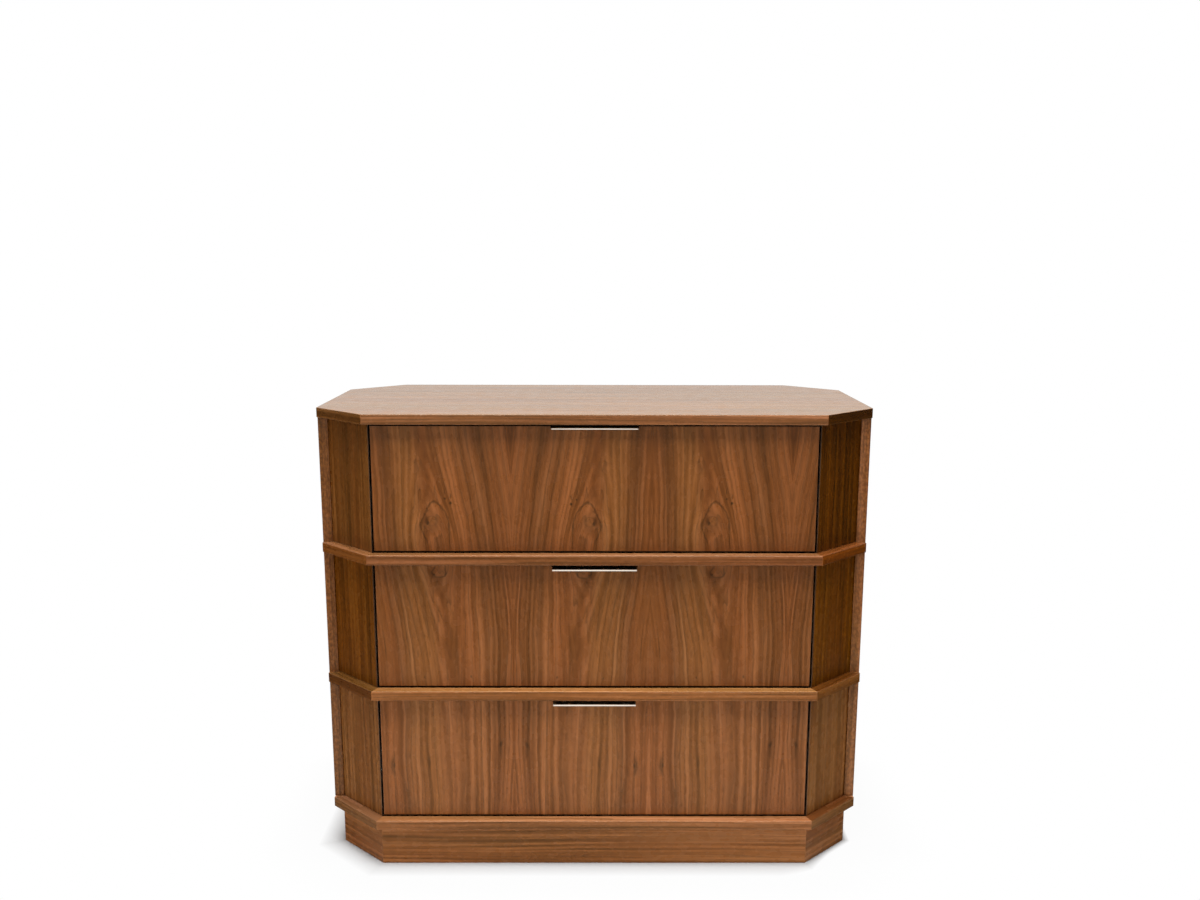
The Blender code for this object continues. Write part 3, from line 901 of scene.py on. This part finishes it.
def brushed_metal(name, brush, tones, roughness, scratch, cloud):
    """A metal brushed along one direction. Scratch and cloud are how strongly lines and blotches show."""
    material, shader, place, facing = new_finish(name)
    here = unpack(place)
    lines = noise(*(part * (12.0 if along else 900.0) for part, along in zip(here, brush)), 2.0)
    clouds = noise(*(part * 45.0 for part in here), 3.0)
    tone = weighted(0.5, (scratch, lines), (cloud, clouds))
    feed(shader["Base Color"], ramp(tone, (0.2, tones[0]), (0.8, tones[1])))
    feed(shader["Roughness"], weighted(roughness, (0.12, lines), (0.12, clouds)))
    feed(shader["Normal"], bumped(lines, 0.10, scratch_depth))
    feed(shader["Metallic"], 1.0)
    return material


nickel = brushed_metal("satin nickel", right, ((0.90, 0.81, 0.70), (1.00, 0.93, 0.83)), 0.28, 0.35, 0.2)
zinc = brushed_metal("zinc-plated steel", back, ((0.42, 0.43, 0.44), (0.66, 0.67, 0.67)), 0.34, 0.5, 0.9)
screw_steel = brushed_metal("screw steel", up, ((0.30, 0.30, 0.29), (0.55, 0.54, 0.52)), 0.30, 0.4, 0.8)
ball_steel = brushed_metal("polished balls", up, ((0.60, 0.61, 0.62), (0.78, 0.79, 0.80)), 0.12, 0.2, 0.3)
print("metals:", ", ".join(metal.name for metal in (nickel, zinc, screw_steel, ball_steel)))

# %% [markdown]
# ## Bent sheet metal
#
# Pulls and slides are both strips of sheet metal bent over a tool. One helper rounds the corners of a path,
# and the next gives it the sheet's thickness. A plain block would lack the round outer bends that catch the
# light.

# %% Helpers that bend sheet metal
def rounded_path(corners, radius, steps=8):
    """The path through the corners, with each inner one turned into an arc."""
    path = [Vector(corners[0])]
    for before, corner, after in zip(corners, corners[1:], corners[2:]):
        corner = Vector(corner)
        back_way, on_way = (Vector(before) - corner).normalized(), (Vector(after) - corner).normalized()
        half_turn = back_way.angle(on_way) / 2
        reach = radius / math.tan(half_turn)
        centre = corner + (back_way + on_way).normalized() * (radius / math.sin(half_turn))
        start, end = corner + back_way * reach - centre, corner + on_way * reach - centre
        sweep = start.angle_signed(end)
        for step in range(steps + 1):
            path.append(centre + Matrix.Rotation(-sweep * step / steps, 2) @ start)
    path.append(Vector(corners[-1]))
    return path


def sheet_outline(path, thickness):
    """Closed outline of a strip of sheet whose middle follows the path."""
    one_side, other_side = [], []
    for number, point in enumerate(path):
        way = (path[min(number + 1, len(path) - 1)] - path[max(number - 1, 0)]).normalized()
        aside = Vector((-way.y, way.x)) * thickness / 2
        one_side.append(point + aside)
        other_side.append(point - aside)
    return one_side + other_side[::-1]


print("sheets are bent by rounded_path and sheet_outline")

# %% [markdown]
# ## From outline to piece
#
# A bent sheet has the same outline all along, so it is run straight along one axis. What is made here then
# gets its material, and has to say which body of the model it rides on, or it would stay behind when a
# drawer opens.

# %% Helpers that make a piece
def run_outline(solid, outline, to_space, start, end):
    """Run a closed outline from start to end. To_space turns (a, b, place along) into x, y and z."""
    near = [solid.verts.new(to_space(a, b, start)) for a, b in outline]
    far = [solid.verts.new(to_space(a, b, end)) for a, b in outline]
    count = len(outline)
    for number in range(count):
        following = (number + 1) % count
        face = solid.faces.new((near[number], near[following], far[following], far[number]))
        face.smooth = True
    # A strip's two ends are closed with a row of four-sided faces, because its outline isn't convex
    for ring in (near, far):
        for number in range(count // 2 - 1):
            opposite = count - 1 - number
            solid.faces.new((ring[number], ring[number + 1], ring[opposite - 1], ring[opposite]))


def object_from(name, solid, material):
    """Turn a finished bmesh into an object."""
    mesh = bpy.data.meshes.new(name)
    solid.to_mesh(mesh)
    solid.free()
    mesh.materials.append(material)
    return place_object(name, mesh)


def new_piece(name, solid, material, body):
    """Turn a finished bmesh into a piece that rides on a body."""
    bmesh.ops.recalc_face_normals(solid, faces=solid.faces)
    piece = object_from(name, solid, material)
    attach(piece, body)
    return piece


print("pieces are made by run_outline and new_piece")

# %% [markdown]
# ## Pulls
#
# A pull is one plate of 1.5 mm, folded down behind the drawer front and in front of it. It lies in a notch,
# a little below the drawer's top edge. Its outer sizes are read from the CAD piece that it stands for. On
# the two lower drawers the plate slopes down in front, so that the lip hangs 3 mm lower. The lip leans back
# a little at its top, which turns it towards the light. The sheet's thin edges are eased with a small Bevel
# modifier.

# %% Fold the pulls
pull_plate = 0.0015
pull_bend = 0.0009  # radius of the middle of the sheet
lip_height = 0.0032  # from the top of the bend to the lip's lower edge
lip_slant = 0.0012  # how far the lip's top leans back
lip_drops = {"upper": -0.0005, "middle": 0.0028, "lower": 0.0034}  # how far the bend lies below the notch


def fold_pull(level):
    low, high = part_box(level + "_pull")
    half = pull_plate / 2
    plate_top = high[2] - half
    lip_top = plate_top - lip_drops[level]
    corners = [(high[1] - half, low[2]), (high[1] - half, plate_top), (drawer_face - 0.0015, plate_top),
               (low[1] + half + lip_slant, lip_top), (low[1] + half, lip_top + half - lip_height)]
    outline = sheet_outline(rounded_path(corners, pull_bend), pull_plate)
    solid = bmesh.new()
    run_outline(solid, outline, lambda y, z, x: (x, y, z), low[0], high[0])
    plate = new_piece(level + "_nickel_pull", solid, nickel, level + "_drawer")
    eased = plate.modifiers.new("eased edges", "BEVEL")
    eased.width = 0.00025
    eased.segments = 2
    eased.limit_method = "ANGLE"
    eased.angle_limit = math.radians(50.0)
    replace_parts(plate, level + "_pull")


for level in levels:
    fold_pull(level)

# %% [markdown]
# ## Screws
#
# Small screws hold the pulls, the drawer fronts and the slides. A screw head is a low dome with a cross
# sunk in it. It is built from rings of points: the outer rings are round, and the inner ring follows the
# cross and is then pushed in. That gives a real recess with no boolean cut.

# %% Shape a screw head
head_points = 32
cross_half_width = 0.16  # of the head's radius
cross_reach = 0.52


def cross_radius(angle):
    """Distance from the middle to the cross's outline, in head radii."""
    leg = abs(math.remainder(angle, math.pi / 2))
    across_leg = cross_half_width / max(math.sin(leg), 1e-6)
    return min(cross_reach / math.cos(leg), across_leg) if leg < math.pi / 4 - 1e-6 else across_leg


head_rings = (  # radius in head radii, height in head heights, True where the ring follows the cross
    (1.0, 0.0, False), (1.0, 0.30, False), (0.93, 0.62, False), (0.78, 0.88, False), (0.64, 1.0, False),
    (1.0, 1.0, True), (0.86, 0.30, True),
)


def add_screw_head(solid, place, axis, radius, height):
    """Add a head that stands on place and points along axis."""
    turn = Vector(up).rotation_difference(Vector(axis)).to_matrix()
    previous = None
    for share, rise, is_cross in head_rings:
        ring = []
        for number in range(head_points):
            angle = 2 * math.pi * number / head_points
            reach = radius * share * (cross_radius(angle) if is_cross else 1.0)
            offset = Vector((reach * math.cos(angle), reach * math.sin(angle), height * rise))
            ring.append(solid.verts.new(Vector(place) + turn @ offset))
        if previous:
            for number in range(head_points):
                following = (number + 1) % head_points
                corners = (previous[number], previous[following], ring[following], ring[number])
                solid.faces.new(corners).smooth = True
        else:
            solid.faces.new(ring)
        previous = ring
    solid.faces.new(previous)


print("a screw head has", len(head_rings) * head_points, "points")

# %% [markdown]
# ## Driving the screws
#
# Three screws hold each pull to the back of its drawer front, and eight more, driven from inside the drawer,
# hold the front to its box. Their heights and depths are read from the boxes of the CAD parts. The screws
# of one fitting are a single piece, because they never move apart.

# %% Drive the screws in the drawers
pull_screw = (0.0028, 0.0016)  # radius and height of a head
front_screw = (0.0048, 0.0020)
above_pull_edge = 0.0062  # from the pull's lower edge behind the front to its screws


def drive_screws(name, places, axis, radius, height, body, slot):
    """One piece with a screw head at each place."""
    solid = bmesh.new()
    for place in places:
        add_screw_head(solid, place, axis, radius, height)
    new_piece(name, solid, screw_steel, body)


for level in levels:
    low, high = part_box(level + "_pull")
    places = [(x, high[1], low[2] + above_pull_edge) for x in (-0.055, 0.0, 0.055)]
    drive_screws(level + "_pull_screws", places, back, *pull_screw, level + "_drawer", "pull_metal")
    low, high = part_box(level + "_drawer_box_front")
    rows = [(low[2] + high[2]) / 2 + rise for rise in (-0.045, 0.045)]
    places = [(x, high[1], row) for x in (-0.29, -0.10, 0.10, 0.29) for row in rows]
    drive_screws(level + "_front_screws", places, back, *front_screw, level + "_drawer", "slide_steel")
print("screws driven in", len(levels), "drawers")

# %% [markdown]
# ## Ball-bearing slides
#
# Each drawer runs on a pair of full-extension slides. A slide is three channels, one inside the other, and
# the middle one moves half as far as the drawer. The CAD model has plain nested channels, so here they are
# rolled with round corners and lips.

# %% Roll the slides
slide_sheet = 0.0012
rolled_corner, rolled_lip = 0.0021, 0.0009  # radii
lip_turn = 0.0016
slide_sections = {  # web and lip, in distance from the partition, and half the height
    "cabinet": (0.0009, 0.0100, 0.0219), "intermediate": (0.0046, 0.0098, 0.0176),
    "drawer": (0.0118, 0.0064, 0.0132),
}
slide_bodies = {"cabinet": "cabinet", "intermediate": "{}_slide_carriage", "drawer": "{}_drawer"}
slides = [(level, side) for level in levels for side in sides]


def slide_place(level, side):
    """(to_space, middle height, front end, rear end) of a slide. Its to_space starts at the partition."""
    low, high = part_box("_".join((level, "cabinet_slide", side)))
    face = low[0] if sides[side] < 0 else high[0]
    return lambda reach, z, y: (face - sides[side] * reach, y, z), (low[2] + high[2]) / 2, low[1], high[1]


def roll_slide(level, kind, side, body):
    to_space, middle, start, end = slide_place(level, side)
    web, tip, half_height = slide_sections[kind]
    top, bottom = middle + half_height - slide_sheet / 2, middle - half_height + slide_sheet / 2
    path = rounded_path([(tip, top), (web, top), (web, bottom), (tip, bottom)], rolled_corner, 6)
    if kind != "drawer":
        path = rounded_path([(tip, top - lip_turn), (tip, top)] + [tuple(point) for point in path[1:-1]]
                            + [(tip, bottom), (tip, bottom + lip_turn)], rolled_lip, 3)
    solid = bmesh.new()
    run_outline(solid, sheet_outline(path, slide_sheet), to_space, start, end)
    name = "_".join((level, kind, "slide", side))
    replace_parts(new_piece("rolled_" + name, solid, zinc, body), name)


for level, side in slides:
    for kind, body in slide_bodies.items():
        roll_slide(level, kind, side, body.format(level))
print("slides rolled, sheet", 1000 * slide_sheet, "mm")

# %% [markdown]
# ## Ball cages
#
# Balls would drift apart if nothing held them, so a thin bent strip, the cage, keeps them in two rows at an
# even distance. One cage runs between the cabinet's channel and the middle one, and a smaller one between
# the middle channel and the drawer's. Both are placed on the stretch of the middle channel that never
# leaves its neighbour, so they can ride with it at every opening. Each ball is a small icosphere, because
# its even triangles look round with few faces.

# %% Fit the cages and balls
ball_radius = 0.0015
ball_spacing = 0.0095
ball_offset = 0.0006  # towards the drawer, from the middle of the cage
cage_sheet, cage_corner = 0.0004, 0.0008
cages = (  # web and tip, in distance from the partition, height of the rows, stretch as shares of the length
    (0.0027, 0.0090, 0.01915, 0.58, 0.98), (0.0058, 0.0090, 0.0148, 0.02, 0.44),
)


def fit_cages(level, side):
    to_space, middle, start, end = slide_place(level, side)
    strips, balls = bmesh.new(), bmesh.new()
    for web, tip, row, first, last in cages:
        near, far = start + first * (end - start), start + last * (end - start)
        upper, lower = middle + row, middle - row
        path = rounded_path([(tip, upper), (web, upper), (web, lower), (tip, lower)], cage_corner, 3)
        run_outline(strips, sheet_outline(path, cage_sheet), to_space, near, far)
        for number in range(int((far - near) / ball_spacing)):
            for height in (lower, upper):
                place = to_space((web + tip) / 2 + ball_offset, height, near + (number + 0.7) * ball_spacing)
                bmesh.ops.create_icosphere(balls, subdivisions=2, radius=ball_radius,
                                           matrix=Matrix.Translation(place))
    for ball_face in balls.faces:
        ball_face.smooth = True
    for name, solid, metal in (("cages", strips, zinc), ("balls", balls, ball_steel)):
        new_piece("_".join((name, level, side)), solid, metal, level + "_slide_carriage")


for level, side in slides:
    fit_cages(level, side)
print("cages fitted, balls", 2000 * ball_radius, "mm across")

# %% [markdown]
# ## Slide screws
#
# Low screw heads fix the cabinet's channels to the partitions and the drawers' channels to the drawers.
# They have to stay lower than the space that the cages run in, so these heads are flatter than the others.

# %% Drive the slide screws
slide_screw = (0.0034, 0.0007)  # radius and height of a head
screw_shares = (0.07, 0.36, 0.68, 0.93)  # places along a slide, as shares of its length
screw_faces = {"cabinet": (0.0015, -1), "drawer": (0.0112, 1)}  # distance from the partition, 1 to face it
for level, side in slides:
    to_space, middle, start, end = slide_place(level, side)
    for kind, (reach, outwards) in screw_faces.items():
        places = [to_space(reach, middle, start + share * (end - start)) for share in screw_shares]
        drive_screws("_".join((level, kind, "slide_screws", side)), places, (outwards * sides[side], 0, 0),
                     *slide_screw, slide_bodies[kind].format(level), "slide_steel")
print("slide screws driven:", len(slides) * 2 * len(screw_shares))

# %% [markdown]
# ## White for the camera
#
# The background is plain white, but a lamp strong enough for that would bleach the wood. Light Path tells
# what a ray is for. White is shown to rays from the camera and, in its own way, to rays from gloss and
# glass, while the lamps stay at the level where a colour shows as it is written. The paper keeps its real
# shadow close to the plinth, so the floor needs to know how far a point is from the plinth's outline.

# %% Tell rays apart and measure from the plinth
plinth_half = (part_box("plinth_right")[1][0], -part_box("plinth_front")[0][1])
plinth_corner_line = corner_line - (half_width - plinth_half[0]) * math.sqrt(2)


def seen_directly(tree):
    """(1 for rays from the camera, 1 for rays that gloss or glass sends on)."""
    path = add_node(tree, "LightPath", {})
    return Wired(path["Is Camera Ray"]), calc("MAXIMUM", Wired(path["Is Glossy Ray"]),
                                              Wired(path["Is Transmission Ray"]))


def beyond_plinth(x, y):
    """Distance from the plinth's eight-sided outline on the floor."""
    outside = [calc("MAXIMUM", abs(part) - half, 0.0) for part, half in zip((x, y), plinth_half)]
    off_corner = abs(x) + abs(y) - plinth_corner_line
    return calc("MAXIMUM", vector_calc("LENGTH", pack(*outside, 0.0)), off_corner * math.sqrt(0.5))


print("plinth measures", [round(2000 * half) for half in plinth_half], "mm on the floor")

# %% [markdown]
# ## Floor
#
# The photograph was taken on a white sweep of paper. The sweep is only some 2.3 metres wide and the studio
# round it is dark, which is why the canted corners look so much deeper than the drawers: they look sideways
# into the dark. The floor plane copies this. The paper that the lacquer mirrors is darker than the one that
# the camera sees, because the photograph's lacquer shows no white haze.

# %% Lay the floor
sweep_half_width = 1.15


def mix_shaders(factor, first, second):
    return Wired(add_node(tree_of(factor), "MixShader", {0: factor, 1: first, 2: second})[0])


def floor_paper():
    """Pale paper: white to the camera with its shadow kept, dark beyond the sweep for gloss and bounce."""
    material, shader, place, facing = new_finish("studio paper")
    tree = material.node_tree
    tree.nodes.remove(tree.nodes["Principled BSDF"])

    def matt(colour):
        return Wired(add_node(tree, "BsdfDiffuse", {"Color": colour})[0])

    def glowing(strength):
        return Wired(add_node(tree, "Emission", {"Color": (1.0, 1.0, 1.0), "Strength": strength})[0])

    camera_sees, mirrored = seen_directly(tree)
    x, y, z = unpack(place)
    from_plinth = beyond_plinth(x, y)
    # The shadow reaches less far on the right
    shadow_reach = fade(x, 0.34, 0.46, 0.052, 0.014)
    whiteness = calc("MINIMUM", from_plinth / shadow_reach, fade(from_plinth, 0.05, 0.20, 0.96, 1.0))
    beyond = fade(abs(x), sweep_half_width, sweep_half_width + 0.5)
    fibres = noise(x * 900.0, y * 900.0, 0.0)
    paper = ramp(weighted(0.5, (0.1, fibres)), (0.0, (0.76, 0.76, 0.76)), (1.0, (0.84, 0.84, 0.84)))
    # The paper beside the dresser lies in its shade, and further forwards it darkens again
    mirrored_light = fade(y, -0.14, -0.30, 0.18, 1.0) * fade(y, -0.6, -1.3, 0.36, 0.06)
    bounce = mix_shaders(beyond, matt(paper), matt((0.08, 0.08, 0.08)))
    gloss = mix_shaders(beyond, glowing(mirrored_light), glowing(0.02))
    shown = mix_shaders(whiteness, matt((0.44, 0.44, 0.44)), glowing(1.0))
    seen = mix_shaders(camera_sees, mix_shaders(mirrored, bounce, gloss), shown)
    feed(tree.nodes["Material Output"].inputs["Surface"], seen)
    return material


sheet = bmesh.new()
bmesh.ops.create_grid(sheet, x_segments=1, y_segments=1, size=9.0)
floor = object_from("floor", sheet, floor_paper())
print("sweep of", 2 * sweep_half_width, "m laid")

# %% [markdown]
# ## Lamps
#
# The overhead lamp hangs in front of the case, so the ledges' tops are the brightest wood and each drawer
# darkens towards the ledge above it. The front lamp stands left, which leaves the right corner deepest. A
# weak lamp lying on the floor stands for the light that the paper throws back, and two lamps at the rear
# corners light the sides and the back. All but the overhead lamp are hidden from gloss, because their mirror
# images would show as white patches in the lacquer.

# %% Hang the lamps
def soft_lamp(name, place, aim, size, power, mirrored=False):
    """A rectangular soft lamp that the camera doesn't see."""
    light = bpy.data.lights.new(name, "AREA")
    light.shape = "RECTANGLE"
    light.size, light.size_y = size
    light.energy = power
    lamp = place_object(name, light)
    lamp.location = place
    lamp.rotation_euler = (Vector(aim) - Vector(place)).to_track_quat("-Z", "Y").to_euler()
    lamp.visible_camera = False
    lamp.visible_glossy = mirrored


soft_lamp("overhead lamp", (0.0, -0.9, 2.6), (0.0, -0.8, 0.0), (2.0, 1.4), 106.0, mirrored=True)
soft_lamp("front lamp", (-1.1, -3.1, 1.5), (0.0, 0.0, 0.4), (1.6, 1.4), 26.0)
soft_lamp("light from the floor", (0.0, -0.85, 0.01), (0.0, -0.85, 1.0), (2.0, 1.0), 6.0)
for side, sign in sides.items():
    soft_lamp(side + " rear lamp", (2.1 * sign, 2.1, 0.9), (0.0, 0.0, 0.45), (1.4, 1.2), 36.0)

# %% [markdown]
# ## World
#
# The world is all that lies round the scene. Behind the dresser it is white, and its mirror image is the
# pale sheen on the top. In front it lights up the pulls, overhead it is half as bright, and elsewhere a
# mirror image of it is nearly black. Its own light on the wood is dim and even, and only fills the shadows.

# %% Paint the studio round the dresser
def studio_world(fill):
    world = bpy.data.worlds.new("studio")
    bpy.context.scene.world = world
    world.use_nodes = True
    tree = world.node_tree
    camera_sees, mirrored = seen_directly(tree)
    x, y, z = unpack(Wired(add_node(tree, "TexCoord", {})["Generated"]))
    behind = fade(y, 0.30, 0.75)
    above = fade(z, 0.50, 0.90, 0.0, 0.5)
    in_front = fade(y, -0.50, -0.78, 0.02, 1.0)
    mirror_level = calc("MAXIMUM", calc("MAXIMUM", behind, above), in_front)
    background = tree.nodes["Background"].inputs
    feed(background["Color"], (1.0, 1.0, 1.0))
    feed(background["Strength"], choose(camera_sees, choose(mirrored, fill, mirror_level), 1.0))


studio_world(fill=0.16)
print("world made of", len(bpy.context.scene.world.node_tree.nodes), "nodes")

# %% [markdown]
# ## Finish
#
# Nothing added here may stand out of the CAD model's box. A plain view transform shows colours as they
# are written.

# %% Set the view transform
bpy.context.scene.view_settings.view_transform = "Standard"
